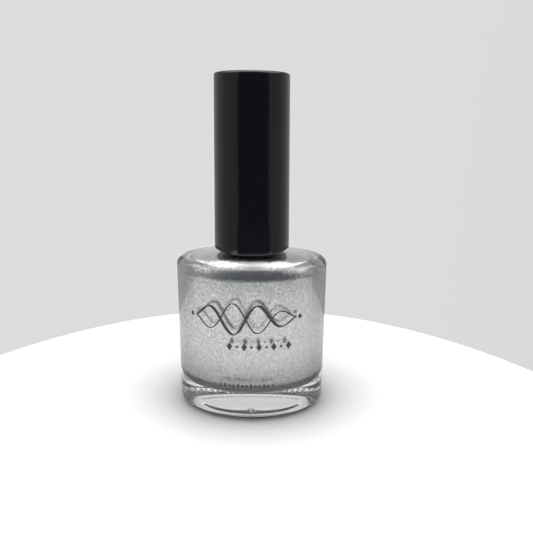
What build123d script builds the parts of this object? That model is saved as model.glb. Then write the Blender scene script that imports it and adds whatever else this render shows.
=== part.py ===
from build123d import *
import os

# Nail polish bottle, 15 ml: an oval clear-glass bottle with a heavy base, a threaded 15-415 neck,
# a two-piece screw closure (overcap on a threaded inner cap), a brush whose stem hangs from the
# inner cap, the lacquer and two loose steel mixing balls. Millimetres. +Z is up, -Y is the front
# face and X runs across the width. The origin is the centre of the ring the bottle stands on.

# ---- glass body ----
BASE_HALF_W, BASE_HALF_D = 20.15, 12.02          # wall at the standing plane, along X and Y
SHOULDER_HALF_W, SHOULDER_HALF_D = 19.28, 11.16  # wall at shoulder height: it leans in slightly
SHOULDER_Z = 42.8           # where the wall turns over into the shoulder
SHOULDER_R = 2.35           # radius of that turn
HEEL_R = 2.2                # radius at the foot of the wall
WALL = 2.45
BASE_THICK = 6.6            # glass under the cavity
CAVITY_FLOOR_R = 3.9        # radius between cavity floor and wall
CAVITY_TOP_Z = 41.6
CAVITY_TOP_R = 3.2          # radius between cavity wall and top
PUSH_UP_H = 0.45            # recess under the base, inside the standing ring
PUSH_UP_HALF_W, PUSH_UP_HALF_D = 12.6, 6.2
PUSH_UP_DRAFT = 1.2         # how far the recess narrows on each side
ROOT_Z, ROOT_R = 44.15, 7.9  # where the shoulder meets the neck

# ---- neck finish, 15-415 ----
NECK_R = 6.6                # neck wall under the thread (E / 2)
THREAD_R = 7.34             # thread crest (T / 2)
BORE_R = 3.95               # neck bore (I / 2)
BORE_FLARE_R = BORE_R + 0.9  # mouth of the bore inside the cavity
RIM_Z = 58.2
PITCH = 2.117               # 12 threads per inch
THREAD_TURNS = 1.5
THREAD_TOP_Z = RIM_Z - 2.0
THREAD_BOTTOM_Z = THREAD_TOP_Z - PITCH * THREAD_TURNS
BEAD_R, BEAD_Z = 7.2, 46.0  # transfer bead near the root
COLLAR_R = NECK_R + 0.25    # neck below the bead

# ---- overcap ----
CAP_BOTTOM_Z, CAP_TOP_Z = 45.5, 85.57
CAP_BOTTOM_R, CAP_TOP_R = 9.54, 8.65
CAP_TOP_EDGE_R, CAP_BOTTOM_EDGE_R = 0.55, 0.45
OVERCAP_BORE_R = 8.30       # lower bore, which the inner cap is pushed into
OVERCAP_STEP_Z = 61.4       # step above the inner cap
OVERCAP_CEILING_Z = CAP_TOP_Z - 1.3
RIB_COUNT, RIB_W, RIB_H = 8, 0.8, 0.5
RIB_X = 7.6

# ---- brush ----
FLANGE_GAP = 0.01           # free film under and over the sealing flange
FLANGE_R, FLANGE_T = 6.1, 1.2
FLANGE_Z = RIM_Z + FLANGE_GAP
FLANGE_TOP_Z = FLANGE_Z + FLANGE_T
PLUG_R, PLUG_L = 3.85, 2.2  # short seal skirt inside the neck bore
PLUG_BOTTOM_Z = FLANGE_Z - PLUG_L
PIN_R, PIN_TOP_Z = 2.6, 66.6  # upper pin held in the inner cap's socket
PIN_BORE_R, PIN_BORE_DEPTH = 1.3, 17
STEM_TOP_R, STEM_END_R = 2.0, 1.65
STEM_END_Z = 26.0
TUFT_HOLE_R, TUFT_HOLE_DEPTH = 1.22, 5.0
TUFT_TIP_Z, TUFT_TIP_R = 9.6, 1.62
TUFT_ROOT_R = TUFT_HOLE_R - 0.03
TUFT_TOP_Z = STEM_END_Z + TUFT_HOLE_DEPTH - 0.25
ANCHOR_W = 2 * TUFT_HOLE_R + 0.04  # wider than the tuft hole, so that it bites into the stem
ANCHOR_H, ANCHOR_T = 1.5, 0.3

# ---- inner cap ----
INNER_R = OVERCAP_BORE_R + 0.01   # bites into the overcap
INNER_BORE_R = THREAD_R + 0.10    # clears the neck thread's crest
INNER_BOTTOM_Z = 45.9
CAP_THREAD_R = 6.86         # crest of the cap's thread, which runs between the neck's turns
CAP_THREAD_TURNS = 1.5
THREAD_SET = 0.16           # rise from midway between the neck's turns, to bear up under them
SEAT_Z = FLANGE_TOP_Z + FLANGE_GAP  # ceiling over the stem flange
ROOF_Z = OVERCAP_STEP_Z - 0.05
SOCKET_R = 2.62
BOSS_R, BOSS_TOP_Z = 4.2, 68.2
BOSS_LID_T = 0.9
FIN_COUNT, FIN_T, FIN_R = 6, 0.9, 7.0

# ---- contents ----
FILL_Z = 39.7               # level of 15 ml of lacquer with the brush in
LIQUID_GAP = 0.03           # free film between lacquer and glass
CHANNEL_R = 2.3             # room the brush displaces
BALL_R = 2.0
BALL_X = 8.0
BALL_Z = BASE_THICK + BALL_R + 0.05
BALL_OUT_X, BALL_IN_X = 12.4, 5.0  # how far out and in a ball can roll along the floor
TROUGH_R = BALL_R + 0.15    # half width of the room left for a rolling ball


# ---- shared shapes ----
def oval(half_width, half_depth, z):
    """A closed oval wire at height z."""
    return Wire.make_ellipse(half_width, half_depth, Plane(origin=(0, 0, z)))


def oval_loft(lower, upper):
    """A straight loft between two ovals, each (half width, half depth, z)."""
    return Solid.make_loft([oval(*lower), oval(*upper)], True)


def wall_at(z, inset):
    """Half width and half depth of the glass wall at height z, less an inset."""
    rise = z / SHOULDER_Z
    return (
        BASE_HALF_W + (SHOULDER_HALF_W - BASE_HALF_W) * rise - inset,
        BASE_HALF_D + (SHOULDER_HALF_D - BASE_HALF_D) * rise - inset,
    )


def edges_at(solid, z, tol=0.05):
    """Edges of a solid that lie wholly at height z."""
    found = []
    for edge in solid.edges():
        box = edge.bounding_box()
        if abs(box.min.Z - z) < tol and abs(box.max.Z - z) < tol:
            found.append(edge)
    return found


def rounded_body(bottom_z, top_z, inset, bottom_r, top_r):
    """A solid that follows the leaning glass wall, with its bottom and top edges rounded."""
    body = oval_loft((*wall_at(bottom_z, inset), bottom_z), (*wall_at(top_z, inset), top_z))
    body = body.fillet(bottom_r, edges_at(body, bottom_z))
    return body.fillet(top_r, edges_at(body, top_z))


def spin(points):
    """A solid of revolution about Z from (radius, z) points."""
    outline = Wire.make_polygon([Vector(radius, 0, z) for radius, z in points], close=True)
    return revolve(Face(outline), Axis.Z)


def rod(radius, height, bottom_z):
    """An upright cylinder on the Z axis."""
    return Solid.make_cylinder(radius, height, Plane(origin=(0, 0, bottom_z)))


def helical_ridge(root_r, crest_r, start_z, turns, root_width, crest_width):
    """A right-hand helical ridge of trapezoid section, from root_r out or in to crest_r."""
    path = Edge.make_helix(PITCH, PITCH * turns, root_r, center=(0, 0, start_z))
    corners = [
        Vector(root_r, 0, start_z - root_width / 2),
        Vector(crest_r, 0, start_z - crest_width / 2),
        Vector(crest_r, 0, start_z + crest_width / 2),
        Vector(root_r, 0, start_z + root_width / 2),
    ]
    section = Face(Wire.make_polygon(corners, close=True))
    return Solid.sweep(section, Wire([path]), is_frenet=True)


# ---- bottle ----
def bottle_outside():
    """Body, domed shoulder, neck and thread, all solid."""
    body = rounded_body(0, SHOULDER_Z, 0, HEEL_R, SHOULDER_R)
    dome = oval_loft(
        (*wall_at(SHOULDER_Z, SHOULDER_R + 0.25), SHOULDER_Z - 0.25),
        (ROOT_R + 0.001, ROOT_R, ROOT_Z),
    )
    neck = spin([
        (0, 40.0),
        (ROOT_R - 0.2, 40.0),
        (ROOT_R - 0.02, ROOT_Z - 0.02),
        (BEAD_R + 0.15, ROOT_Z + 0.45),
        (COLLAR_R, ROOT_Z + 0.95),
        (COLLAR_R, BEAD_Z - 0.55),
        (BEAD_R, BEAD_Z - 0.2),
        (BEAD_R, BEAD_Z + 0.2),
        (NECK_R, BEAD_Z + 0.65),
        (NECK_R, RIM_Z - 0.5),
        (NECK_R - 0.5, RIM_Z),
        (0, RIM_Z),
    ])
    ridge = helical_ridge(
        NECK_R - 0.25, THREAD_R, THREAD_BOTTOM_Z, THREAD_TURNS, root_width=1.75, crest_width=0.65
    )
    return body + dome + neck + ridge


def glass_bottle():
    # The cavity is domed at the top, up to the flared mouth of the bore.
    cavity = rounded_body(BASE_THICK, CAVITY_TOP_Z, WALL, CAVITY_FLOOR_R, CAVITY_TOP_R)
    cavity = cavity + oval_loft(
        (*wall_at(CAVITY_TOP_Z, WALL + CAVITY_TOP_R + 0.15), CAVITY_TOP_Z - 0.2),
        (BORE_FLARE_R + 0.001, BORE_FLARE_R, CAVITY_TOP_Z + 1.1),
    )
    bore = spin([
        (0, CAVITY_TOP_Z - 1),
        (BORE_FLARE_R + 0.05, CAVITY_TOP_Z - 1),
        (BORE_FLARE_R - 0.02, CAVITY_TOP_Z + 1.12),
        (BORE_R, CAVITY_TOP_Z + 2.6),
        (BORE_R, RIM_Z - 0.4),
        (BORE_R + 0.4, RIM_Z + 0.01),
        (BORE_R + 0.4, RIM_Z + 1),
        (0, RIM_Z + 1),
    ])
    recess = oval_loft(
        (PUSH_UP_HALF_W + 0.05, PUSH_UP_HALF_D + 0.05, -0.02),
        (PUSH_UP_HALF_W - PUSH_UP_DRAFT, PUSH_UP_HALF_D - PUSH_UP_DRAFT, PUSH_UP_H),
    )
    return bottle_outside() - cavity - bore - recess


# ---- contents ----
def lacquer_fill():
    fill = rounded_body(
        BASE_THICK + LIQUID_GAP, CAVITY_TOP_Z, WALL + LIQUID_GAP, CAVITY_FLOOR_R, CAVITY_TOP_R
    )
    fill = fill - Pos(0, 0, FILL_Z + 10) * Box(60, 60, 20)
    fill = fill - rod(CHANNEL_R, 60, BASE_THICK + 1.5)
    # A trough on each side leaves room for its ball and runs on down through the fill's floor.
    near = BALL_IN_X - TROUGH_R
    far = BALL_OUT_X + TROUGH_R
    trough = Box(far - near, 2 * TROUGH_R, 2 * TROUGH_R + 2)
    for side in (-1, 1):
        fill = fill - Pos(side * (near + far) / 2, 0, BALL_Z - 1) * trough
    return fill


def mixing_ball(side):
    """One ball, on the -X (side -1) or +X (side 1) half of the floor."""
    return Pos(side * BALL_X, 0, BALL_Z) * Sphere(BALL_R)


# ---- closure ----
def overcap():
    shell = spin([
        (0, CAP_BOTTOM_Z),
        (CAP_BOTTOM_R, CAP_BOTTOM_Z),
        (CAP_TOP_R, CAP_TOP_Z),
        (0, CAP_TOP_Z),
    ])
    shell = shell.fillet(CAP_TOP_EDGE_R, edges_at(shell, CAP_TOP_Z))
    shell = shell.fillet(CAP_BOTTOM_EDGE_R, edges_at(shell, CAP_BOTTOM_Z))
    shell = shell - spin([
        (0, CAP_BOTTOM_Z - 1),
        (OVERCAP_BORE_R, CAP_BOTTOM_Z - 1),
        (OVERCAP_BORE_R, OVERCAP_STEP_Z),
        (7.75, OVERCAP_STEP_Z),
        (7.2, OVERCAP_CEILING_Z),
        (0, OVERCAP_CEILING_Z),
    ])
    # Upright ribs inside the upper hollow, trimmed to a band that follows its taper.
    rib_height = OVERCAP_CEILING_Z - OVERCAP_STEP_Z + 0.4
    rib_z = (OVERCAP_STEP_Z + OVERCAP_CEILING_Z) / 2
    rib = Pos(RIB_X, 0, rib_z) * Box(2 * RIB_H + 0.4, RIB_W, rib_height)
    band = spin([
        (6.9, OVERCAP_STEP_Z),
        (8.2, OVERCAP_STEP_Z),
        (7.7, OVERCAP_CEILING_Z + 0.3),
        (6.6, OVERCAP_CEILING_Z + 0.3),
    ])
    for i in range(RIB_COUNT):
        shell = shell + ((Rot(0, 0, 360 / RIB_COUNT * (i + 0.5)) * rib) & band)
    return shell


def boss_fin(angle):
    """One upright web that runs out from the boss, on the inner cap's roof."""
    outline = [
        (BOSS_R - 0.3, ROOF_Z - 0.2),
        (FIN_R, ROOF_Z - 0.2),
        (FIN_R - 0.3, BOSS_TOP_Z - 0.8),
        (BOSS_R - 0.3, BOSS_TOP_Z),
    ]
    corners = [Vector(x, -FIN_T / 2, z) for x, z in outline]
    face = Face(Wire.make_polygon(corners, close=True))
    return Rot(0, 0, angle) * extrude(face, amount=FIN_T, dir=(0, 1, 0))


def inner_cap():
    skirt = spin([
        (INNER_BORE_R + 0.25, INNER_BOTTOM_Z),
        (INNER_R - 0.2, INNER_BOTTOM_Z),
        (INNER_R, INNER_BOTTOM_Z + 0.3),
        (INNER_R, ROOF_Z - 0.3),
        (INNER_R - 0.3, ROOF_Z),
        (SOCKET_R, ROOF_Z),
        (SOCKET_R, SEAT_Z),
        (INNER_BORE_R, SEAT_Z),
        (INNER_BORE_R, INNER_BOTTOM_Z + 0.4),
    ])
    ridge = helical_ridge(
        INNER_BORE_R + 0.16,
        CAP_THREAD_R,
        THREAD_BOTTOM_Z - PITCH / 2 + THREAD_SET,
        CAP_THREAD_TURNS,
        root_width=1.3,
        crest_width=0.45,
    )
    boss_z = ROOF_Z - 0.2
    boss_height = BOSS_TOP_Z - boss_z
    boss = rod(BOSS_R, boss_height, boss_z) - rod(SOCKET_R, boss_height + 2, boss_z - 1)
    lid = Pos(0, 0, BOSS_TOP_Z + BOSS_LID_T / 2) * Cylinder(BOSS_R, BOSS_LID_T)
    cap = skirt + ridge + boss + lid
    for i in range(FIN_COUNT):
        cap = cap + boss_fin(360 / FIN_COUNT * i)
    return cap


# ---- brush ----
def brush_stem():
    stem = spin([
        (0, STEM_END_Z),
        (STEM_END_R - 0.15, STEM_END_Z),
        (STEM_END_R, STEM_END_Z + 0.25),
        (STEM_TOP_R, PLUG_BOTTOM_Z - 0.6),
        (PLUG_R - 0.5, PLUG_BOTTOM_Z),
        (PLUG_R, PLUG_BOTTOM_Z + 0.7),
        (PLUG_R, FLANGE_Z),
        (FLANGE_R, FLANGE_Z),
        (FLANGE_R, FLANGE_TOP_Z - 0.3),
        (FLANGE_R - 0.3, FLANGE_TOP_Z),
        (PIN_R - 0.25, FLANGE_TOP_Z),
        (PIN_R - 0.25, FLANGE_TOP_Z + 1.6),
        (PIN_R, FLANGE_TOP_Z + 2.2),
        (PIN_R, PIN_TOP_Z - 0.8),
        (PIN_R - 0.7, PIN_TOP_Z),
        (0, PIN_TOP_Z),
    ])
    # Both blind holes are cut 1 mm past the open end.
    stem = stem - rod(PIN_BORE_R, PIN_BORE_DEPTH + 1, PIN_TOP_Z - PIN_BORE_DEPTH)
    return stem - rod(TUFT_HOLE_R, TUFT_HOLE_DEPTH + 1, STEM_END_Z - 1)


def bristle_tuft():
    tuft = spin([
        (0, TUFT_TIP_Z),
        (0.75, TUFT_TIP_Z + 0.15),
        (1.3, TUFT_TIP_Z + 0.75),
        (TUFT_TIP_R, TUFT_TIP_Z + 2.2),
        (TUFT_TIP_R - 0.05, TUFT_TIP_Z + 6.0),
        (TUFT_ROOT_R + 0.1, STEM_END_Z - 2.5),
        (TUFT_ROOT_R, STEM_END_Z - 0.6),
        (TUFT_ROOT_R, TUFT_TOP_Z),
        (0, TUFT_TOP_Z),
    ])
    # Slot across the top for the anchor.
    slot = Box(2 * TUFT_HOLE_R + 1, ANCHOR_T + 0.06, 2 * ANCHOR_H + 0.1)
    return tuft - Pos(0, 0, TUFT_TOP_Z) * slot


def tuft_anchor():
    return Pos(0, 0, TUFT_TOP_Z - ANCHOR_H / 2 + 0.05) * Box(ANCHOR_W, ANCHOR_T, ANCHOR_H)


PARTS = {
    "glass_bottle": glass_bottle(),
    "lacquer_fill": lacquer_fill(),
    "mixing_ball_left": mixing_ball(-1),
    "mixing_ball_right": mixing_ball(1),
    "overcap": overcap(),
    "inner_cap": inner_cap(),
    "brush_stem": brush_stem(),
    "bristle_tuft": bristle_tuft(),
    "tuft_anchor": tuft_anchor(),
}

os.makedirs("parts", exist_ok=True)
for name, shape in PARTS.items():
    export_step(shape, f"parts/{name}.step")
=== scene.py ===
"""A nail lacquer bottle: oval clear glass, silver lacquer, black cap and a brush.

The bottle stands on z = 0 with its axis on Z. Its long side lies along X and its front faces -Y.
Shapes are drawn in mm and linked in metres; stage, light and camera places are noted where they differ.
"""
import bpy
import math
import mathutils
import numpy as np
from functools import partial
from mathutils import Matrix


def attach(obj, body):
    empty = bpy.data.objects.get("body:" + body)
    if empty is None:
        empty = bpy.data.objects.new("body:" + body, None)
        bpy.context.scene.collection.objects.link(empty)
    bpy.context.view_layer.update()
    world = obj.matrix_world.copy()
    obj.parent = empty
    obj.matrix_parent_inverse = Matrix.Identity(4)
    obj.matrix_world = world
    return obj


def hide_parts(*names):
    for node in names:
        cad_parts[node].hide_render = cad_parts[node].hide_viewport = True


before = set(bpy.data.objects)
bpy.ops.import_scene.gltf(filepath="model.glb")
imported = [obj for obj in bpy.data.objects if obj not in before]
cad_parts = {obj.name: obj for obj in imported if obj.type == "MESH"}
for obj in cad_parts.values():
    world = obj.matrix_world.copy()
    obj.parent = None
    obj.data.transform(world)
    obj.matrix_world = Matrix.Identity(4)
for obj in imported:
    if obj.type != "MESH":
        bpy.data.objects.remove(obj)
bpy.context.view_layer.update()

MM = 0.001
TAU = 2 * math.pi

# ---- dimensions shared with the CAD (mm) ----
BASE_A, BASE_B, TOP_A, TOP_B = 20.15, 12.02, 19.28, 11.16   # half axes of the oval, foot and shoulder
SHOULDER_Z, SHOULDER_R, HEEL_R = 42.8, 2.35, 2.2
WALL, BASE_THICK, FLOOR_R = 2.45, 6.6, 3.9
CAV_TOP_Z, CAV_TOP_R = 41.6, 2.6
PUSH_UP, PUSH_A, PUSH_B = 0.28, 12.6, 6.2                   # recess under the base
FOOT_R, FOOT_Z = 7.4, 44.15                                 # where the shoulder meets the neck
NECK_R, THREAD_R, BORE_R, RIM_Z = 6.6, 7.34, 3.95, 58.2
PITCH, TURNS, THREAD_GAP = 2.117, 1.5, 2.0
BEAD_R, BEAD_Z = 7.2, 46.0
FILL_Z = 39.7
CAP_Z0, CAP_Z1, CAP_R0, CAP_R1 = 45.5, 85.57, 9.54, 8.65
STEM_END_Z, TIP_Z, TIP_R = 26.0, 9.6, 1.62


# ---- mesh helpers ----
def angles(count):
    return np.linspace(0, TAU, count, endpoint=False)


GLASS_SEGMENTS = 288
AROUND = angles(GLASS_SEGMENTS)
CAP_AROUND = angles(256)
STEM_AROUND = angles(96)


def link(name, verts, faces, smooth=True):
    mesh = bpy.data.meshes.new(name)
    mesh.from_pydata([tuple(v) for v in np.asarray(verts) * MM], [], faces)
    mesh.update()
    if smooth:
        mesh.polygons.foreach_set("use_smooth", [True] * len(mesh.polygons))
    ob = bpy.data.objects.new(name, mesh)
    bpy.context.scene.collection.objects.link(ob)
    return ob


def skin(rows, first_pole=None, last_pole=None, close=False):
    """Surface through rings of points; poles cap the ends, close joins the last ring to the first."""
    n, m = len(rows[0]), len(rows)
    verts = [p for row in rows for p in row]
    faces = []
    for i in range(m - 1 + close):
        a, b = i * n, (i + 1) % m * n
        for j in range(n):
            k = (j + 1) % n
            faces.append((a + j, a + k, b + k, b + j))
    if first_pole is not None:
        pole = len(verts)
        verts.append(first_pole)
        faces += [(pole, (j + 1) % n, j) for j in range(n)]
    if last_pole is not None:
        pole, a = len(verts), (m - 1) * n
        verts.append(last_pole)
        faces += [(pole, a + j, a + (j + 1) % n) for j in range(n)]
    return verts, faces


def join(*parts):
    verts, faces = [], []
    for part_verts, part_faces in parts:
        start = len(verts)
        verts += [tuple(p) for p in part_verts]
        faces += [tuple(i + start for i in face) for face in part_faces]
    return verts, faces


def flip(part):
    verts, faces = part
    return verts, [tuple(reversed(face)) for face in faces]


def ellipse(a, b, z, around=AROUND):
    return np.column_stack([a * np.cos(around), b * np.sin(around), np.broadcast_to(z, around.shape)])


def ring(radius, z, around=AROUND):
    return ellipse(radius, radius, z, around)


def rings(profile, around=AROUND):
    return [ring(r, z, around) for r, z in profile]


def half_axes(z, shrink=0.0):
    """Half axes of the bottle's tapering oval at height z."""
    k = z / SHOULDER_Z
    return BASE_A + (TOP_A - BASE_A) * k - shrink, BASE_B + (TOP_B - BASE_B) * k - shrink


def oval(z, shrink=0.0, inset=0.0, lift=0.0):
    """The bottle's oval at z, shrunk on both axes, moved in along its normal, then lifted."""
    a, b = half_axes(z, shrink)
    row = ellipse(a, b, z + lift)
    nx, ny = b * np.cos(AROUND), a * np.sin(AROUND)
    length = np.hypot(nx, ny)
    row[:, 0] -= inset * nx / length
    row[:, 1] -= inset * ny / length
    return row


def smooth01(x):
    x = np.clip(x, 0, 1)
    return x * x * (3 - 2 * x)


def densify(profile, step):
    """Split a profile of (r, z) points so that no piece is longer than step."""
    out = [profile[0]]
    for (r0, z0), (r1, z1) in zip(profile, profile[1:]):
        n = max(1, int(math.ceil(math.hypot(r1 - r0, z1 - z0) / step)))
        for i in range(1, n + 1):
            out.append((r0 + (r1 - r0) * i / n, z0 + (z1 - z0) * i / n))
    return out


def rounded(profile):
    """Profile of (r, z) points, with an arc in place of each inner point given as (r, z, radius)."""
    out = []
    for i, (r, z, *corner) in enumerate(profile):
        if not corner:
            out.append((r, z))
            continue
        p = np.array((r, z), float)
        back = np.array(profile[i - 1][:2], float) - p
        ahead = np.array(profile[i + 1][:2], float) - p
        back_len, ahead_len = np.linalg.norm(back), np.linalg.norm(ahead)
        back, ahead = back / back_len, ahead / ahead_len
        angle = math.acos(float(np.clip(back @ ahead, -1, 1)))
        cut = min(corner[0] / math.tan(angle / 2), back_len * 0.49, ahead_len * 0.49)
        radius = cut * math.tan(angle / 2)
        bisector = (back + ahead) / np.linalg.norm(back + ahead)
        centre = p + bisector * (radius / math.sin(angle / 2))
        start, end = p + back * cut - centre, p + ahead * cut - centre
        turn0, turn1 = math.atan2(start[1], start[0]), math.atan2(end[1], end[0])
        sweep = (turn1 - turn0 + math.pi) % TAU - math.pi
        n = max(3, int(abs(sweep) / math.radians(11)))
        for k in range(n + 1):
            w = turn0 + sweep * k / n
            out.append((centre[0] + radius * math.cos(w), centre[1] + radius * math.sin(w)))
    return out


def helix_height(around, z, start_z, half_root, half_crest):
    """0..1 height of the helical thread round the ring at height z."""
    fade = 0.5     # radians over which each end of the thread dies out
    best = np.zeros_like(around)
    for k in range(int(math.ceil(TURNS)) + 1):
        phi = around + TAU * k
        centre_z = start_z + PITCH * phi / TAU
        height = smooth01((half_root - np.abs(z - centre_z)) / (half_root - half_crest))
        ends = smooth01(phi / fade) * smooth01((TAU * TURNS - phi) / fade)
        best = np.maximum(best, np.where((phi >= 0) & (phi <= TAU * TURNS), height * ends, 0))
    return best


# ---- glass ----
LUGS, LUG_H, LUG_IN = 72, 0.5, 0.45      # knurl round the foot: count, height, step inwards
PUSH_EDGE, PUSH_CROWN = 1.3, 0.14        # width of the recess's slope, rise of its middle
HEEL_START = math.radians(28)
HEEL_START_Z, HEEL_START_INSET = 0.82, 1.36
SHOULDER_FRONT_Z = 39.9                  # where the shoulder starts at the front and back
CAV_FRONT_Z, ROOF_R_IN, ROOF_Z_IN = 38.4, 4.6, 43.5
SEAM_COS, SEAM_H = -8.6 / 19.3, 0.045

# (inset, z, share of the lug) up the plinth: knurled, then a fine groove
PLINTH = [
    (2.12, 0.03, 1.0), (1.86, 0.2, 1.0), (1.72, 0.42, 0.75),
    (1.64, 0.62, 0.3), (1.6, 0.72, 0.0), (1.5, 0.79, 0),
]
# (share of the way from recess to heel, share of the lug) under the base
UNDERSIDE = [
    (0.1, 0), (0.3, 0.0), (0.45, 0.0), (0.55, 0.45), (0.65, 0.9), (0.8, 1.0), (0.93, 1.0),
]


def lug_heights():
    """0..1 height of the knurl, its lugs evenly spaced along the oval."""
    p = oval(0.0, inset=HEEL_R)
    d = np.linalg.norm(np.roll(p, -1, 0) - p, axis=1)
    fraction = np.concatenate([[0], np.cumsum(d)[:-1]]) / d.sum()
    return smooth01(0.5 - 0.5 * np.cos(TAU * LUGS * fraction))


def end_height(h, corner_z, corner_r, inset, foot_r, foot_z, straight, power):
    """Height at the oval's two ends, h in from the wall: a round corner, then a gentle slope."""
    if h < corner_r:
        return corner_z - corner_r + math.sqrt(max(0.0, corner_r ** 2 - (corner_r - h) ** 2))
    s = (h - corner_r) / (TOP_A - inset - corner_r - foot_r)
    return corner_z + (foot_z - corner_z) * (straight * s + (1 - straight) * s ** power)


outer_end = partial(end_height, corner_z=SHOULDER_Z, corner_r=SHOULDER_R, inset=0.0,
                    foot_r=FOOT_R, foot_z=FOOT_Z, straight=0.55, power=2.2)
cavity_end = partial(end_height, corner_z=CAV_TOP_Z, corner_r=CAV_TOP_R, inset=WALL,
                     foot_r=ROOF_R_IN, foot_z=ROOF_Z_IN, straight=0.3, power=2.4)


def dome_rows(wall_z, foot_r, foot_z, shrink, front_z, end_profile, n):
    """A shoulder from the oval wall to a round foot.

    Round and deep at the front and back, where the wall is near the neck;
    a tight corner and a long gentle slope at the two ends.
    """
    wall = oval(wall_z, shrink)
    foot = ring(foot_r, foot_z)
    run = np.linalg.norm((foot - wall)[:, :2], axis=1)
    frontness = np.clip((run.max() - run) / (run.max() - run.min()), 0, 1)
    rows = []
    for i in range(n + 1):
        a = math.pi / 2 * (i / n)
        inward = 1 - math.cos(a)           # 0 at the wall, 1 at the foot
        at_front = front_z + (foot_z - front_z) * math.sin(a)
        at_end = end_profile(inward * run.max())
        row = wall + (foot - wall) * inward
        row[:, 2] = at_end * (1 - frontness) + at_front * frontness
        rows.append(row)
    return rows


def base_rows():
    """Underside, knurled plinth and rounded heel, from the middle outwards and up."""
    lug = lug_heights()
    flat_a, flat_b = PUSH_A - PUSH_EDGE, PUSH_B - PUSH_EDGE
    rows = []
    for s in (0.12, 0.3, 0.5, 0.7, 0.86, 0.96, 1.0):
        rows.append(ellipse(flat_a * s, flat_b * s, PUSH_UP + PUSH_CROWN * (1 - s * s)))
    for s in (0.15, 0.3, 0.45, 0.6, 0.75, 0.9, 1.0):
        a, b = flat_a + (PUSH_A - flat_a) * s, flat_b + (PUSH_B - flat_b) * s
        rows.append(ellipse(a, b, PUSH_UP * (1 - float(smooth01(s)))))
    inner = ellipse(PUSH_A, PUSH_B, 0)[:, :2]
    outer = oval(0, inset=HEEL_R + 0.05)[:, :2]
    for s, share in UNDERSIDE:
        rows.append(np.column_stack([inner + (outer - inner) * s, LUG_H * lug * share]))
    for inset, z, share in PLINTH:
        lift = LUG_H * lug * share * (1 - z / 0.8)
        rows.append(oval(z, inset=inset + LUG_IN * lug * share, lift=lift))
    # the heel's arc, eased so that it starts from the top of the groove
    arc_z = HEEL_R * (1 - math.cos(HEEL_START))
    arc_inset = HEEL_R * (1 - math.sin(HEEL_START))
    for i in range(1, 13):
        a = math.radians(28 + (90 - 28) * i / 12)
        inset, z = HEEL_R * (1 - math.sin(a)), HEEL_R * (1 - math.cos(a))
        k = 1 - i / 12
        rows.append(oval(z + (HEEL_START_Z - arc_z) * k,
                         inset=inset + (HEEL_START_INSET - arc_inset) * k))
    return rows


def neck_rows():
    """Neck with its bead and thread, over the lip and a little way down the bore."""
    collar_r = NECK_R + 0.2
    neck = rounded([
        (FOOT_R, FOOT_Z), (collar_r, FOOT_Z + 0.06, 0.45), (collar_r, BEAD_Z - 0.6, 0.2),
        (BEAD_R, BEAD_Z - 0.2, 0.2), (BEAD_R, BEAD_Z + 0.2, 0.2),
        (NECK_R, BEAD_Z + 0.7, 0.5), (NECK_R, 52.0),
    ])
    rows = rings(neck[1:])
    thread_z = RIM_Z - THREAD_GAP - PITCH * TURNS
    for z in np.arange(52.12, 57.45, 0.13):
        height = helix_height(AROUND, z, thread_z, half_root=0.82, half_crest=0.3)
        rows.append(ring(NECK_R + (THREAD_R - NECK_R) * height, z))
    lip = rounded([(NECK_R, 57.5), (NECK_R, RIM_Z, 0.5), (BORE_R, RIM_Z, 0.4), (BORE_R, 55.0)])
    return rows + rings(lip[1:])


def outer_rows():
    wall_top = SHOULDER_Z - SHOULDER_R
    rows = base_rows()
    rows += [oval(z) for z in np.linspace(HEEL_R + 2, wall_top - 1, 16)]
    rows += dome_rows(wall_top, FOOT_R, FOOT_Z, 0.0, SHOULDER_FRONT_Z, outer_end, 84)
    return rows + neck_rows()


def cavity_rows(extra=0.0, top=54.0):
    """From the bore down the inside to the floor. extra grows the surface into the glass."""
    bore, roof_r, roof_z = BORE_R + extra, ROOF_R_IN + extra, ROOF_Z_IN + extra
    bore_end = ROOF_Z_IN + 1.9
    wall, wall_top = WALL - extra, CAV_TOP_Z - CAV_TOP_R
    rows = [ring(bore, z) for z in np.linspace(top, bore_end, 7)]
    flare = rounded([(bore, bore_end), (bore, ROOF_Z_IN + 1.2 + extra, 0.9), (roof_r, roof_z)])
    rows += rings(flare[1:])
    dome = dome_rows(wall_top, roof_r, roof_z, wall, CAV_FRONT_Z + extra, cavity_end, 48)
    rows += dome[::-1][1:]
    rows += [oval(z, wall) for z in np.linspace(wall_top - 1.5, BASE_THICK + FLOOR_R + 1, 12)]
    for i in range(15):
        a = math.radians(90 * i / 14)
        z = BASE_THICK + FLOOR_R - (FLOOR_R + extra) * math.sin(a)
        rows.append(oval(z, wall, FLOOR_R * (1 - math.cos(a))))
    edge = rows[-1]
    for s in (0.86, 0.66, 0.4, 0.15):
        row = edge * s
        row[:, 2] = BASE_THICK - extra
        rows.append(row)
    return rows


def with_seam(rows):
    """A mould parting line: a fine ridge over the front left shoulder that dies out down the wall."""
    seam_angle = TAU - math.acos(SEAM_COS)
    j = int(round(seam_angle / TAU * GLASS_SEGMENTS)) % GLASS_SEGMENTS
    for row in rows:
        x, y, z = row[j]
        k = float(smooth01((z - 34.0) / 4.0) * (1 - smooth01((z - 44.3) / 0.5)))
        if k > 0:
            normal = np.array([x / BASE_A ** 2, y / BASE_B ** 2, 0.0])
            normal = normal / np.linalg.norm(normal)
            up = float(smooth01((z - 41.5) / 1.2))
            normal = normal * (1 - up) + np.array([0, 0, 1.0]) * up
            row[j] = row[j] + normal * SEAM_H * k
    return rows


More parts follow.
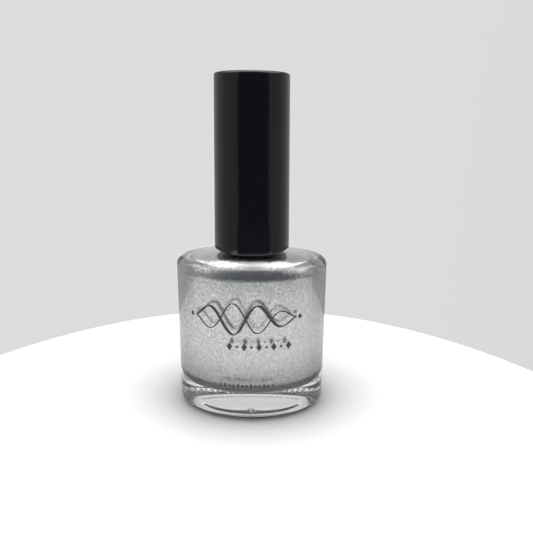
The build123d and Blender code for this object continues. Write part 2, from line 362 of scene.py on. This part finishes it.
def build_glass():
    rows = with_seam(outer_rows()) + cavity_rows()
    glass = link("glass_body", *skin(rows, (0, 0, PUSH_UP + PUSH_CROWN), (0, 0, BASE_THICK)))
    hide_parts("glass_bottle")
    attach(glass, "bottle")
    return glass


# ---- mould mark: a ring and three dots raised in the recess under the base ----
def torus(x, y, z, radius, minor, n=36, m=8):
    rows = []
    for w in (TAU * i / m for i in range(m)):
        row = ring(radius + minor * math.cos(w), z + minor * 0.7 * math.sin(w), angles(n))
        rows.append(row + (x, y, 0))
    return skin(rows, close=True)


def dot(x, y, z, radius=0.16, height=0.13):
    rows = []
    for w in (-math.pi / 2 + math.pi * i / 6 for i in range(1, 6)):
        row = ring(radius * math.cos(w), z + height * math.sin(w), angles(16))
        rows.append(row + (x, y, 0))
    return skin(rows, (x, y, z - height), (x, y, z + height))


def build_mark():
    mark = link("mould_mark", *join(
        torus(0, -4.4, PUSH_UP + 0.08, radius=0.75, minor=0.12),
        dot(-1.15, -5.35, PUSH_UP + 0.05), dot(1.15, -5.35, PUSH_UP + 0.05),
        dot(0, -5.7, PUSH_UP + 0.03)))
    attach(mark, "bottle")
    return mark


# ---- lacquer: reaches a hair into the glass; a film stays on the wall above the level ----
FILM_TOP, WETTING, FILM_INSET = 51.0, 0.02, 0.16
# (share of the film's last ring, height over the level) across the surface
MENISCUS = [(0.985, 0.12), (0.96, 0.03), (0.9, 0.0), (0.7, 0), (0.45, 0), (0.2, 0)]


def build_lacquer():
    film_out = cavity_rows(WETTING, FILM_TOP)
    film_in = [row for row in cavity_rows(-FILM_INSET, FILM_TOP - 0.3)
               if row[0][2] > FILL_Z + 0.35]
    # ragged top edge of the film
    wave = 0.5 * np.sin(3 * AROUND + 0.4) + 0.3 * np.sin(7 * AROUND + 1.3)
    for film in (film_out, film_in):
        for i, share in enumerate((1.0, 0.5, 0.2)):
            film[i][:, 2] += wave * share
    surface = []
    for s, rise in MENISCUS:
        row = film_in[-1] * s
        row[:, 2] = FILL_Z + rise
        surface.append(row)
    rows = film_out[::-1] + film_in + surface
    lacquer = link("lacquer", *skin(rows, (0, 0, BASE_THICK - WETTING), (0, 0, FILL_Z)))
    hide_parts("lacquer_fill")
    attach(lacquer, "bottle")
    return lacquer


# ---- cap ----
CAP_BORE, CAP_STEP_Z, CAP_ROOF = 8.30, 61.4, 1.3
INNER_R, IN_Z0, IN_BORE, IN_THREAD = 8.29, 45.9, 7.44, 6.86
SEAT_Z, ROOF_Z, SOCKET_R, BOSS_R, BOSS_Z, SOCKET_Z = 59.42, 61.35, 2.63, 4.2, 69.1, 68.2


def plates(corners, thickness, count, offset=0.0):
    """Upright plates set round the axis; corners are four (r, z) points, offset is in degrees."""
    faces = [(0, 1, 2, 3), (7, 6, 5, 4), (0, 4, 5, 1), (1, 5, 6, 2), (2, 6, 7, 3), (3, 7, 4, 0)]
    flat = [(x, y, z) for y in (-thickness / 2, thickness / 2) for x, z in corners]
    out = []
    for i in range(count):
        a = math.radians(360 // count * i + offset)
        c, s = math.cos(a), math.sin(a)
        out.append(([(x * c - y * s, x * s + y * c, z) for x, y, z in flat], faces))
    return out


def build_cap():
    under_roof = CAP_Z1 - CAP_ROOF
    profile = densify(rounded([
        (0.4, CAP_Z1 - 0.01), (CAP_R1 * 0.6, CAP_Z1 - 0.015), (CAP_R1, CAP_Z1 - 0.03, 0.55),
        (CAP_R0, CAP_Z0, 0.18), (CAP_BORE, CAP_Z0, 0.3), (CAP_BORE, CAP_STEP_Z, 0.1),
        (7.75, CAP_STEP_Z, 0.12), (7.2, under_roof, 0.5), (0.4, under_roof),
    ]), 2.4)
    shell = flip(skin(rings(profile, CAP_AROUND), (0, 0, CAP_Z1), (0, 0, under_roof)))
    rib_foot, rib_top = CAP_STEP_Z + 0.05, CAP_Z1 - 1.0
    ribs = plates([(6.9, rib_foot), (8.0, rib_foot), (7.6, rib_top), (6.75, rib_top)],
                  thickness=0.8, count=8, offset=22.5)
    cap = link("cap_shell", *join(shell, *ribs))
    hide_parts("overcap")
    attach(cap, "cap")
    return cap


def build_inner_cap():
    outside = densify(rounded([
        (0.4, BOSS_Z), (BOSS_R, BOSS_Z, 0.5), (BOSS_R, ROOF_Z, 0.4), (INNER_R, ROOF_Z, 0.3),
        (INNER_R, IN_Z0, 0.25), (IN_BORE + 0.1, IN_Z0, 0.12), (IN_BORE, IN_Z0 + 0.5),
    ]), 2.5)
    rows = rings(outside, CAP_AROUND)
    thread_z = RIM_Z - THREAD_GAP - PITCH * (TURNS + 0.5) + 0.16
    for z in [*np.arange(46.8, 51.2, 1.1), *np.arange(51.3, 56.4, 0.13), 57.4, 58.6]:
        height = helix_height(CAP_AROUND, z, thread_z, half_root=0.62, half_crest=0.2)
        rows.append(ring(IN_BORE - (IN_BORE - IN_THREAD) * height, z, CAP_AROUND))
    inside = densify(rounded([
        (IN_BORE, 58.8), (IN_BORE, SEAT_Z, 0.3), (SOCKET_R, SEAT_Z, 0.15),
        (SOCKET_R, SOCKET_Z, 0.3), (0.4, SOCKET_Z),
    ]), 2.5)
    rows += rings(inside[1:], CAP_AROUND)
    body = flip(skin(rows, (0, 0, BOSS_Z), (0, 0, SOCKET_Z)))
    fins = plates([(3.9, 61.2), (7.0, 61.2), (6.7, 67.4), (3.9, 68.2)], thickness=0.9, count=6)
    inner = link("inner_closure", *join(body, *fins))
    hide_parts("inner_cap")
    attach(inner, "cap")
    return inner


# ---- brush: stem with flange, plug and pin, then the filaments ----
FLANGE_Z = RIM_Z + 0.01
PIN_BORE_Z, TUFT_BORE_Z = 49.6, 31.0
HAIRS, HAIR_ROOT_R, HAIR_ROOT_Z = 330, 1.12, STEM_END_Z + 4.4
# (share of the hair's length, hair radius) from root to tip
HAIR_STATIONS = [
    (0.0, 0.05), (0.16, 0.05), (0.34, 0.05), (0.52, 0.05), (0.7, 0.048), (0.86, 0.042), (1.0, 0.022),
]


def build_stem():
    profile = densify(rounded([
        # hollow pin
        (0.25, PIN_BORE_Z), (1.3, PIN_BORE_Z), (1.3, 66.6), (1.9, 66.6, 0.25), (2.6, 65.8, 0.3),
        (2.6, FLANGE_Z + 3.4), (2.35, FLANGE_Z + 2.8), (2.35, FLANGE_Z + 1.2, 0.25),
        # flange and plug
        (6.1, FLANGE_Z + 1.2, 0.3), (6.1, FLANGE_Z, 0.25), (3.85, FLANGE_Z, 0.2),
        (3.85, FLANGE_Z - 1.5, 0.3), (3.35, FLANGE_Z - 2.2, 0.2), (2.0, FLANGE_Z - 2.9, 0.8),
        # rod and the hole for the tuft
        (1.65, STEM_END_Z + 0.25), (1.6, STEM_END_Z, 0.1), (1.22, STEM_END_Z, 0.08),
        (1.22, 30.9), (0.25, TUFT_BORE_Z),
    ]), 2.5)
    poles = (0, 0, PIN_BORE_Z), (0, 0, TUFT_BORE_Z)
    stem = link("stem", *flip(skin(rings(profile, STEM_AROUND), *poles)))
    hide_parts("brush_stem")
    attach(stem, "brush")
    return stem


def build_tuft():
    rng = np.random.default_rng(11)
    golden = math.pi * (3 - math.sqrt(5))
    bulge = TIP_R - 0.09
    hairs = []
    for i in range(HAIRS):
        f = math.sqrt((i + 0.5) / HAIRS)     # 0 in the middle of the tuft, 1 at its edge
        root_r = HAIR_ROOT_R * f
        end_z = TIP_Z + (2.0 * f ** 3 + rng.uniform(0, 0.35))
        twist = rng.normal(0, 0.05)
        rows = []
        for s, hair_r in HAIR_STATIONS:
            z = HAIR_ROOT_Z + (end_z - HAIR_ROOT_Z) * s
            d = max(0.0, (STEM_END_Z - z) / (STEM_END_Z - TIP_Z))
            r = root_r + (bulge * f - root_r) * smooth01(d * 1.25)
            r -= 0.1 * f * max(0.0, d - 0.75) * 4
            a = i * golden + twist * d
            x, y = r * math.cos(a), r * math.sin(a)
            rows.append(ring(hair_r, z, angles(6)) + (x, y, 0))
            if s == 0:
                root = (x, y, z)
        hairs.append(flip(skin(rows, root, (x, y, z - 0.03))))
    tuft = link("bristles", *join(*hairs))
    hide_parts("bristle_tuft")
    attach(tuft, "brush")
    return tuft


# ---- ornament printed on the front: crossing strands and two rows of lozenges and dots ----
INK_OUT, INK_IN = 0.028, -0.01           # ink's two faces, out from the glass
STRAND_X0, STRAND_X1, STRAND_Z = -13.6, 11.4, 29.8
STRAND_HEIGHT, STRAND_LOOPS = 4.4, 4
NIB_ANGLE = math.radians(20)


def on_glass(points, out):
    """Points (x, z) laid on the front wall, moved out from it."""
    verts = []
    for x, z in points:
        a, b = half_axes(z)
        verts.append((x, float(-(b * np.sqrt(np.clip(1 - (x / a) ** 2, 0, 1)) + out)), z))
    return verts


def stroke(points, width):
    """A thin closed ribbon of ink along a path of (x, z) points."""
    p = np.array(points, float)
    n = len(p)
    d = np.gradient(p, axis=0)
    d = d / np.linalg.norm(d, axis=1)[:, None]
    side = np.stack([-d[:, 1], d[:, 0]], 1) * (width / 2)[:, None]
    edges = np.concatenate([p + side, p - side])
    verts = on_glass(edges, INK_OUT) + on_glass(edges, INK_IN)
    left, right, left_in, right_in = 0, n, 2 * n, 3 * n
    faces = []
    for i in range(n - 1):
        j = i + 1
        faces += [
            (left + i, left + j, right + j, right + i),
            (left_in + i, right_in + i, right_in + j, left_in + j),
            (left + i, left_in + i, left_in + j, left + j),
            (right + i, right + j, right_in + j, right_in + i),
        ]
    e = n - 1
    faces += [(left, right, right_in, left_in),
              (left + e, left_in + e, right_in + e, right + e)]
    return verts, faces


def blob(outline):
    """A filled shape of ink, built in rings so that it follows the curve of the glass."""
    o = np.array(outline, float)
    centre, n = o.mean(0), len(o)
    points = np.concatenate([centre + (o - centre) * s for s in (0.33, 0.66, 1.0)])
    verts = on_glass(points, INK_OUT) + on_glass(points, INK_IN)
    verts += on_glass([centre], INK_OUT) + on_glass([centre], INK_IN)
    m, rim = 3 * n, 2 * n
    faces = []
    for i in range(n):
        j = (i + 1) % n
        for a, b in ((0, n), (n, rim)):
            faces += [(a + i, b + i, b + j, a + j), (m + a + i, m + a + j, m + b + j, m + b + i)]
        faces += [(2 * m, i, j), (2 * m + 1, m + j, m + i)]
        faces.append((rim + i, m + rim + i, m + rim + j, rim + j))
    return verts, faces


def circle(x, z, radius, n):
    return [(x + radius * math.cos(w), z + radius * math.sin(w)) for w in angles(n)]


def lozenge(x, z, half_width, half_height):
    corners = [np.array((x + half_width * math.cos(w), z + half_height * math.sin(w)))
               for w in angles(4)]
    return [tuple(p + (q - p) * u) for p, q in zip(corners, corners[1:] + corners[:1])
            for u in (0, 0.25, 0.5, 0.75)]


def motif_row(pattern, x, pitch, z, lozenge_size, dot_r, dot_points):
    """A row from x rightwards; L in the pattern is a lozenge, o is a dot."""
    out = []
    for i, kind in enumerate(pattern):
        at = x + pitch * i
        out.append(blob(lozenge(at, z, *lozenge_size) if kind == "L"
                        else circle(at, z, dot_r, dot_points)))
    return out


def strand(sign, thin, thick):
    """One wavy strand; its width follows its direction, as a flat nib's does."""
    points = []
    for s in np.linspace(0, 1, 150):
        swell = math.sin(math.pi * s) ** 0.55 * (1.15 - 0.45 * s)
        wave = swell * math.sin(math.pi * STRAND_LOOPS * s)
        points.append((STRAND_X0 + (STRAND_X1 - STRAND_X0) * s,
                       STRAND_Z + sign * STRAND_HEIGHT * wave))
    d = np.gradient(np.array(points), axis=0)
    slope = np.arctan2(d[:, 1], d[:, 0])
    return stroke(points, thin + (thick - thin) * np.abs(np.sin(slope - NIB_ANGLE)))


def build_ornament():
    ink = [strand(1, thin=0.26, thick=0.8), strand(-1, thin=0.2, thick=0.42)]
    ink += motif_row("LoLoLoLoL", x=-5.2, pitch=1.85, z=22.3,
                     lozenge_size=(0.72, 1.15), dot_r=0.34, dot_points=20)
    for x in (STRAND_X0 - 0.9, STRAND_X1 + 0.9):
        ink.append(blob(lozenge(x, STRAND_Z, 0.5, 0.8)))
    ink += motif_row("oLooLooLooLoo", x=-7.6, pitch=1.12, z=11.0,
                     lozenge_size=(0.36, 0.85), dot_r=0.33, dot_points=14)
    prints = link("front_ornament", *join(*ink), smooth=False)
    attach(prints, "bottle")
    return prints


# ---- material helpers ----
def set_inputs(node, inputs):
    """Set each input, by name or index, to a value or link it to an output socket."""
    for key, value in inputs.items():
        if isinstance(value, bpy.types.NodeSocket):
            node.id_data.links.new(value, node.inputs[key])
        else:
            node.inputs[key].default_value = value


def add_node(tree, kind, inputs=None, **settings):
    node = tree.nodes.new("ShaderNode" + kind)
    for key, value in settings.items():
        setattr(node, key, value)
    set_inputs(node, inputs or {})
    return node


def new_material(name):
    material = bpy.data.materials.new(name)
    material.use_nodes = True
    tree = material.node_tree
    return material, tree, tree.nodes["Principled BSDF"]


def math_node(tree, operation, *values):
    return add_node(tree, "Math", dict(enumerate(values)), operation=operation).outputs[0]


def vector_node(tree, operation, inputs):
    return add_node(tree, "VectorMath", inputs, operation=operation).outputs[0]


def smooth_step(tree, value, low, high, to_low=0.0, to_high=1.0):
    return add_node(tree, "MapRange", {
        "Value": value, "From Min": low, "From Max": high, "To Min": to_low, "To Max": to_high,
    }, interpolation_type="SMOOTHSTEP").outputs["Result"]


def object_coords(tree, scale):
    coords = add_node(tree, "TexCoord").outputs["Object"]
    return add_node(tree, "Mapping", {"Vector": coords, "Scale": scale}).outputs["Vector"]


def noise(tree, scale, detail):
    coords = object_coords(tree, scale)
    inputs = {"Vector": coords, "Scale": 1.0, "Detail": detail}
    return add_node(tree, "TexNoise", inputs).outputs["Fac"]


def bump(tree, height, strength, distance):
    inputs = {"Height": height, "Strength": strength, "Distance": distance}
    return add_node(tree, "Bump", inputs).outputs["Normal"]


# ---- materials ----
def clear_glass():
    material, tree, shader = new_material("clear_glass_look")
    ripple = noise(tree, scale=(90, 90, 40), detail=2.0)
    set_inputs(shader, {
        "Base Color": (0.965, 0.985, 0.98, 1), "Roughness": 0.0, "IOR": 1.5,
        "Transmission Weight": 1.0,
        "Normal": bump(tree, ripple, strength=0.12, distance=0.0002),
    })
    return material


def silver_lacquer():
    """Metallic binder with fine flakes, each flake tipped its own way."""
    material, tree, shader = new_material("silver_lacquer_look")
    coords = object_coords(tree, (5200,) * 3)
    flakes = add_node(tree, "TexVoronoi", {"Vector": coords, "Scale": 1.0, "Randomness": 1.0})
    flakes = flakes.outputs["Color"]
    ramp = add_node(tree, "ValToRGB")
    dark, pale = ramp.color_ramp.elements
    dark.position, dark.color = 0.0, (0.30, 0.305, 0.30, 1)
    pale.position, pale.color = 1.0, (0.57, 0.575, 0.562, 1)
    split = add_node(tree, "SeparateColor", {"Color": flakes})
    set_inputs(ramp, {"Fac": split.outputs["Red"]})
    # painted shade: darker towards the floor, standing in for the shaded floor the lacquer reflects;
    # heights in metres
    place = add_node(tree, "TexCoord").outputs["Object"]
    height = add_node(tree, "SeparateXYZ", {"Vector": place}).outputs["Z"]
    painted_shade_low = smooth_step(tree, height, low=0.0062, high=0.0195, to_low=0.52)
    # the flake colour is scaled by this painted shade
    colour = vector_node(tree, "SCALE", {0: ramp.outputs["Color"], "Scale": painted_shade_low})
    # the surface normal plus a little of each flake's random colour
    normal = add_node(tree, "NewGeometry").outputs["Normal"]
    tip = vector_node(tree, "SUBTRACT", {0: flakes, 1: (0.5, 0.5, 0.5)})
    tip = vector_node(tree, "SCALE", {0: tip, "Scale": 0.10})
    tipped = vector_node(tree, "ADD", {0: normal, 1: tip})
    set_inputs(shader, {
        "Metallic": 1.0, "Roughness": 0.25, "Base Color": colour,
        "Normal": vector_node(tree, "NORMALIZE", {0: tipped}),
    })
    return material


def black_gloss():
    """Glossy black with handling haze and faint hairlines."""
    material, tree, shader = new_material("black_gloss_look")
    haze = noise(tree, scale=(160, 160, 60), detail=5.0)
    roughness = add_node(tree, "MapRange", {
        "Value": haze, "From Min": 0.3, "From Max": 0.75, "To Min": 0.05, "To Max": 0.11})
    hairlines = noise(tree, scale=(900, 900, 220), detail=3.0)
    set_inputs(shader, {
        "Base Color": (0.0022, 0.0024, 0.0036, 1), "IOR": 1.5,
        "Roughness": roughness.outputs["Result"],
        "Normal": bump(tree, hairlines, strength=0.05, distance=0.00004),
    })
    return material


def grained(name, color, rough, grain, metallic=None):
    """A fine-grained surface whose colour, roughness and bump follow one noise."""
    material, tree, shader = new_material(name)
    fac = noise(tree, scale=(grain,) * 3, detail=4.0)
    roughness = add_node(tree, "MapRange", {
        "Value": fac, "To Min": rough - 0.07, "To Max": rough + 0.07})
    mix = add_node(tree, "Mix", {
        "A": tuple(c * 0.8 for c in color) + (1,),
        "B": tuple(min(1, c * 1.25) for c in color) + (1,),
        "Factor": fac,
    }, data_type="RGBA")
    set_inputs(shader, {
        "Roughness": roughness.outputs["Result"], "Base Color": mix.outputs["Result"],
        "Normal": bump(tree, fac, strength=0.25, distance=0.00005),
    })
    if metallic is not None:
        set_inputs(shader, {"Metallic": metallic})
    return material


# ---- stage ----
STAND_R, STAND_Y, STAND_DEPTH = 117.3, -58.7, 9.0
FLAG_FROM, FLAG_TO, FLAG_STEPS = -41, 55.5, 24    # degrees from -Y towards +X


def stand_material():
    """White, shaded round the bottle's foot, with a glow under it for light the glass lets through."""
    material, tree, shader = new_material("stand_look")
    calc = partial(math_node, tree)
    place = add_node(tree, "TexCoord").outputs["Object"]
    x, y, _ = add_node(tree, "SeparateXYZ", {0: place}).outputs
    ex, ey = calc("DIVIDE", x, BASE_A * MM), calc("DIVIDE", y, BASE_B * MM)
    squares = calc("ADD", calc("MULTIPLY", ex, ex), calc("MULTIPLY", ey, ey))
    reach = calc("SUBTRACT", calc("SQRT", squares), 1.0)     # 0 on the outline of the foot
    away = calc("MULTIPLY", calc("MAXIMUM", reach, -0.1), 12.0)    # roughly mm

    def falloff(distance, strength):
        return calc("MULTIPLY", calc("EXPONENT", calc("MULTIPLY", away, -1 / distance)), strength)

    shade = calc("ADD", falloff(distance=28.0, strength=0.47), falloff(distance=3.5, strength=0.18))
    lit = calc("SUBTRACT", 1.0, shade)
    white = (0.95, 0.95, 0.943)
    color = add_node(tree, "CombineColor",
                     {i: calc("MULTIPLY", lit, c) for i, c in enumerate(white)})
    glow_in, glow_out, glow = -0.3, -0.16, 0.34     # full and zero glow, in reach; strength
    fade = calc("MULTIPLY", calc("SUBTRACT", reach, glow_in), 1 / (glow_out - glow_in))
    fade = calc("MINIMUM", calc("MAXIMUM", fade, 0.0), 1.0)
    set_inputs(shader, {
        "Roughness": 0.55, "Base Color": color.outputs[0], "Emission Color": (1, 1, 0.99, 1),
        "Emission Strength": calc("MULTIPLY", calc("SUBTRACT", 1.0, fade), glow),
    })
    return material


def build_stand():
    profile = rounded([(0.5, 0.0), (STAND_R, 0.0, 3.0), (STAND_R, -STAND_DEPTH, 3.0),
                       (0.5, -STAND_DEPTH)])
    rows = [row + (0, STAND_Y, 0) for row in rings(profile, angles(256))]
    stand = link("stand", *flip(skin(rows, (0, STAND_Y, 0), (0, STAND_Y, -STAND_DEPTH))))
    stand.location.z = -0.00002     # just clear of the bottle's foot
    stand.data.materials.append(stand_material())


def flag_material():
    """Dark and faintly blue, but clear to rays that come straight through the glass."""
    material, tree, shader = new_material("flag_look")
    set_inputs(shader, {
        "Base Color": (0.01, 0.01, 0.012, 1), "Roughness": 0.9,
        "Emission Color": (0.075, 0.09, 0.125, 1), "Emission Strength": 1.0,
    })
    path = add_node(tree, "LightPath").outputs
    unreflected = math_node(tree, "LESS_THAN", path["Glossy Depth"], 0.5)
    refracted = math_node(tree, "GREATER_THAN", path["Transmission Depth"], 0.5)
    mix = add_node(tree, "MixShader", {
        "Fac": math_node(tree, "MULTIPLY", unreflected, refracted),
        1: shader.outputs["BSDF"], 2: add_node(tree, "BsdfTransparent").outputs["BSDF"],
    })
    output = next(n for n in tree.nodes if n.type == "OUTPUT_MATERIAL")
    set_inputs(output, {"Surface": mix.outputs["Shader"]})
    return material


def build_flag():
    """A low dark screen curved round behind the camera, never seen by it directly."""
    verts = []
    for i in range(FLAG_STEPS + 1):
        a = math.radians(FLAG_FROM + (FLAG_TO - FLAG_FROM) * i / FLAG_STEPS)
        for radius, z in ((128.0, 0.6), (124.0, 26.0)):
            verts.append((radius * math.sin(a), -radius * math.cos(a), z))
    faces = [(2 * i, 2 * i + 2, 2 * i + 3, 2 * i + 1) for i in range(FLAG_STEPS)]
    flag = link("flag", verts, faces, smooth=False)
    flag.visible_camera = False
    flag.visible_shadow = False
    flag.data.materials.append(flag_material())


def build_world():
    """Pale surroundings, bright overhead, with a dark room in front that only reflections show."""
    world = bpy.data.worlds.new("surroundings")
    bpy.context.scene.world = world
    world.use_nodes = True
    tree = world.node_tree
    calc, step = partial(math_node, tree), partial(smooth_step, tree)
    yaw = math.radians(7)                # the dark side's middle, from -Y towards +X
    side, back, top = 0.45, 0.72, 1.3    # brightness of the surroundings

    direction = add_node(tree, "TexCoord").outputs["Generated"]
    x, y, z = add_node(tree, "SeparateXYZ", {0: direction}).outputs
    level = calc("SQRT", calc("ADD", calc("MULTIPLY", x, x), calc("MULTIPLY", y, y)))
    ahead = calc("SUBTRACT", calc("MULTIPLY", x, math.sin(yaw)), calc("MULTIPLY", y, math.cos(yaw)))
    front = calc("DIVIDE", ahead, calc("MAXIMUM", level, 0.001))    # 1 straight in front

    # the dark side reaches higher in the middle
    across = step(front, 0.63, 0.75)
    limit = calc("ADD", 0.20, calc("MULTIPLY", step(front, 0.66, 1.0), 0.50))
    low = calc("SUBTRACT", 1.0, step(calc("SUBTRACT", z, limit), -0.14, 0.05))
    path = add_node(tree, "LightPath").outputs
    # hidden from the camera, both directly and straight through the glass
    through = calc("MULTIPLY", calc("MINIMUM", path["Transmission Depth"], 1.0),
                   calc("SUBTRACT", 1.0, calc("MINIMUM", path["Glossy Depth"], 1.0)))
    dark = calc("MULTIPLY", calc("MULTIPLY", across, low),
                calc("SUBTRACT", 1.0, calc("MAXIMUM", path["Is Camera Ray"], through)))

    backness = step(calc("MULTIPLY", front, -1.0), -0.4, 1.0)
    value = calc("ADD", side, calc("MULTIPLY", backness, back - side))
    up = step(z, 0.66, 0.98)
    value = calc("ADD", calc("MULTIPLY", value, calc("SUBTRACT", 1.0, up)),
                 calc("MULTIPLY", up, top))
    # a tall soft strip behind the bottle, seen only as a sheen in glossy surfaces
    strip = calc("MULTIPLY", step(calc("MULTIPLY", front, -1.0), 0.93, 0.965),
                 calc("MULTIPLY", path["Is Glossy Ray"],
                      calc("SUBTRACT", 1.0, path["Is Transmission Ray"])))
    value = calc("ADD", value, calc("MULTIPLY", strip, 1.1))
    # a little paler to the camera than in reflections
    value = calc("MULTIPLY", value, calc("ADD", 0.86, calc("MULTIPLY", path["Is Camera Ray"], 0.14)))

    color = add_node(tree, "CombineColor")
    warm = step(z, 0.12, 0.5)
    # red, green, blue: (tint, dark side low down, dark side higher up)
    channels = ((1.0, 0.075, 0.132), (1.0, 0.09, 0.118), (0.985, 0.125, 0.125))
    for i, (tint, dark_low, dark_high) in enumerate(channels):
        shade = calc("ADD", dark_low, calc("MULTIPLY", warm, dark_high - dark_low))
        pale = calc("MULTIPLY", calc("MULTIPLY", value, tint), calc("SUBTRACT", 1.0, dark))
        set_inputs(color, {i: calc("ADD", pale, calc("MULTIPLY", dark, shade))})
    set_inputs(tree.nodes["Background"], {"Color": color.outputs[0]})


def add_top_light():
    """A wide panel straight overhead; metres and watts."""
    location, target = (0.0, -0.17, 0.42), (0, -0.17, 0.001)
    data = bpy.data.lights.new("top_light", "AREA")
    data.shape = "RECTANGLE"
    data.size, data.size_y = 1.55, 0.54
    data.energy = 6.5
    light = bpy.data.objects.new("top_light", data)
    bpy.context.scene.collection.objects.link(light)
    light.location = location
    aim = mathutils.Vector(target) - mathutils.Vector(location)
    light.rotation_euler = aim.to_track_quat("-Z", "Y").to_euler()


def add_camera():
    """In front of the bottle, looking along +Y and down; location in metres."""
    pitch_down, roll = math.radians(19.92), 0.012
    data = bpy.data.cameras.new("camera")
    camera = bpy.data.objects.new("camera", data)
    bpy.context.scene.collection.objects.link(camera)
    data.sensor_width = 36.0
    data.lens = 29.1106942
    data.shift_x = 0.00131332083
    data.clip_start = 0.005
    camera.location = (0.00364, -0.10538, 0.07774)
    level = mathutils.Euler((math.pi / 2 - pitch_down, 0, 0)).to_matrix()
    camera.rotation_euler = (level @ mathutils.Matrix.Rotation(roll, 3, "Z")).to_euler()
    bpy.context.scene.camera = camera


def set_render():
    scene = bpy.context.scene
    scene.view_settings.view_transform = "Standard"
    scene.view_settings.exposure = 0.0
    cycles = scene.cycles
    cycles.use_denoising = True
    cycles.max_bounces = 16
    cycles.transmission_bounces = 16
    cycles.glossy_bounces = 8
    cycles.caustics_refractive = True
    cycles.caustics_reflective = True


# ---- build ----
glass, mark, lacquer = build_glass(), build_mark(), build_lacquer()
cap, inner = build_cap(), build_inner_cap()
stem, tuft = build_stem(), build_tuft()
prints = build_ornament()

looks = [
    (glass, clear_glass()),
    (lacquer, silver_lacquer()),
    (cap, black_gloss()),
    (mark, grained("ground_glass_look", (0.50, 0.51, 0.505), rough=0.6, grain=5000)),
    (inner, grained("black_matte_look", (0.016, 0.016, 0.018), rough=0.42, grain=1800)),
    (stem, grained("stem_look", (0.030, 0.030, 0.032), rough=0.36, grain=1500)),
    (tuft, grained("nylon_look", (0.022, 0.022, 0.025), rough=0.30, grain=2500)),
    (prints, grained("ink_look", (0.022, 0.022, 0.026), rough=0.5, grain=6000)),
]
for ob, look in looks:
    ob.data.materials.clear()
    ob.data.materials.append(look)
steel = grained("steel_look", (0.60, 0.61, 0.62), rough=0.22, grain=3000, metallic=1.0)
for name in ("mixing_ball_left", "mixing_ball_right", "tuft_anchor"):
    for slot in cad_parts[name].material_slots:
        slot.material = steel

build_stand()
build_flag()
build_world()
add_top_light()
add_camera()
set_render()
